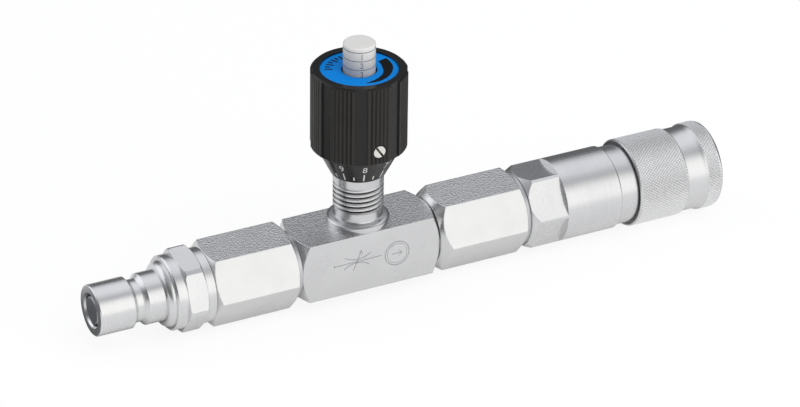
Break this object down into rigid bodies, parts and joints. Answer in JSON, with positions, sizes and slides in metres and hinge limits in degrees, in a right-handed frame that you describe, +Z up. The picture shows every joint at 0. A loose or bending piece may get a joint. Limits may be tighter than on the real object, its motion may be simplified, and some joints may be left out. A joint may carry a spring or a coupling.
{
  "type": "throttle valve",
  "caption": "Needle throttle valve with a hand knob and turn indicator, between a quick coupling plug and a quick coupling socket.",
  "frame": {"origin": "centre of the coupling plug's front face, on the flow axis", "axes": "+X along the flow axis from the plug to the socket, +Z up the spindle to the hand knob"},
  "size_m": [0.2712, 0.038, 0.1083],
  "materials": {
    "nickel_plated_steel": "satin plated",
    "turned_steel": "fine turned",
    "polished_steel": "polished",
    "washer_steel": "dull",
    "spring_steel": "drawn wire",
    "blackened_steel": "blackened",
    "brass": "turned",
    "seal_rubber": "matt",
    "white_ptfe": "smooth",
    "white_plastic": "translucent satin",
    "black_plastic": "moulded satin",
    "blue_label": "printed foil"
  },
  "bodies": {
    "valve": {"valve_body": "nickel_plated_steel", "bonnet": "turned_steel", "bonnet_oring": "seal_rubber", "plug_adapter": "nickel_plated_steel", "plug_stub_oring": "seal_rubber", "body_washer": "washer_steel", "socket_adapter": "nickel_plated_steel", "body_oring": "seal_rubber", "joint_washer": "washer_steel", "plug_body": "turned_steel", "plug_guide": "turned_steel", "plug_guide_ring": "spring_steel", "plug_spring": "spring_steel", "socket_barrel": "turned_steel", "socket_guide": "turned_steel", "socket_front": "turned_steel", "barrel_oring": "seal_rubber", "socket_spring": "spring_steel", "nose_seal": "seal_rubber", "backup_ring": "white_ptfe", "sleeve_spring": "spring_steel", "stop_ring": "spring_steel", "snap_ring": "spring_steel"},
    "knob": {"knob": "black_plastic", "knob_label": "blue_label", "set_screw": "blackened_steel", "driver": "brass"},
    "spindle": {"spindle": "turned_steel", "spindle_oring": "seal_rubber", "indicator_cap": "white_plastic"},
    "plug_poppet": {"plug_poppet": "turned_steel", "plug_poppet_seal": "seal_rubber"},
    "socket_poppet": {"socket_poppet": "turned_steel", "socket_poppet_seal": "seal_rubber"},
    "lock_sleeve": {"lock_sleeve": "turned_steel"},
    "ball_1": {"ball_1": "polished_steel"},
    "ball_2": {"ball_2": "polished_steel"},
    "ball_3": {"ball_3": "polished_steel"},
    "ball_4": {"ball_4": "polished_steel"},
    "ball_5": {"ball_5": "polished_steel"},
    "ball_6": {"ball_6": "polished_steel"},
    "ball_7": {"ball_7": "polished_steel"},
    "ball_8": {"ball_8": "polished_steel"}
  },
  "joints": [
    {"name": "knob_turn", "type": "hinge", "parent": "valve", "child": "knob", "pos_m": [0.1141, 0, 0], "axis": [0, 0, 1], "range_deg": [-1368, 72]},
    {"name": "spindle_lift", "type": "slide", "parent": "knob", "child": "spindle", "axis": [0, 0, 1], "range_m": [-0.0142, 0.0008]},
    {"name": "plug_poppet_slide", "type": "slide", "parent": "valve", "child": "plug_poppet", "axis": [1, 0, 0], "range_m": [0, 0.005], "stiffness_N_per_m": 800, "springref_m": -0.004, "deforming": ["plug_spring"]},
    {"name": "socket_poppet_slide", "type": "slide", "parent": "valve", "child": "socket_poppet", "axis": [1, 0, 0], "range_m": [-0.005, 0], "stiffness_N_per_m": 800, "springref_m": 0.004, "deforming": ["socket_spring"]},
    {"name": "sleeve_slide", "type": "slide", "parent": "valve", "child": "lock_sleeve", "axis": [1, 0, 0], "range_m": [-0.005, 0], "stiffness_N_per_m": 1500, "springref_m": 0.004, "deforming": ["sleeve_spring"]},
    {"name": "ball_1_slide", "type": "slide", "parent": "valve", "child": "ball_1", "axis": [0, 0.9239, 0.3827], "range_m": [0, 0.00121]},
    {"name": "ball_2_slide", "type": "slide", "parent": "valve", "child": "ball_2", "axis": [0, 0.3827, 0.9239], "range_m": [0, 0.00121]},
    {"name": "ball_3_slide", "type": "slide", "parent": "valve", "child": "ball_3", "axis": [0, -0.3827, 0.9239], "range_m": [0, 0.00121]},
    {"name": "ball_4_slide", "type": "slide", "parent": "valve", "child": "ball_4", "axis": [0, -0.9239, 0.3827], "range_m": [0, 0.00121]},
    {"name": "ball_5_slide", "type": "slide", "parent": "valve", "child": "ball_5", "axis": [0, -0.9239, -0.3827], "range_m": [0, 0.00121]},
    {"name": "ball_6_slide", "type": "slide", "parent": "valve", "child": "ball_6", "axis": [0, -0.3827, -0.9239], "range_m": [0, 0.00121]},
    {"name": "ball_7_slide", "type": "slide", "parent": "valve", "child": "ball_7", "axis": [0, 0.3827, -0.9239], "range_m": [0, 0.00121]},
    {"name": "ball_8_slide", "type": "slide", "parent": "valve", "child": "ball_8", "axis": [0, 0.9239, -0.3827], "range_m": [0, 0.00121]}
  ],
  "couplings": [
    {"joint": "spindle_lift", "follows": "knob_turn", "m_per_rad": 0.00058887},
    {"joint": "ball_1_slide", "follows": "sleeve_slide", "ratio": -0.24},
    {"joint": "ball_2_slide", "follows": "sleeve_slide", "ratio": -0.24},
    {"joint": "ball_3_slide", "follows": "sleeve_slide", "ratio": -0.24},
    {"joint": "ball_4_slide", "follows": "sleeve_slide", "ratio": -0.24},
    {"joint": "ball_5_slide", "follows": "sleeve_slide", "ratio": -0.24},
    {"joint": "ball_6_slide", "follows": "sleeve_slide", "ratio": -0.24},
    {"joint": "ball_7_slide", "follows": "sleeve_slide", "ratio": -0.24},
    {"joint": "ball_8_slide", "follows": "sleeve_slide", "ratio": -0.24}
  ]
}
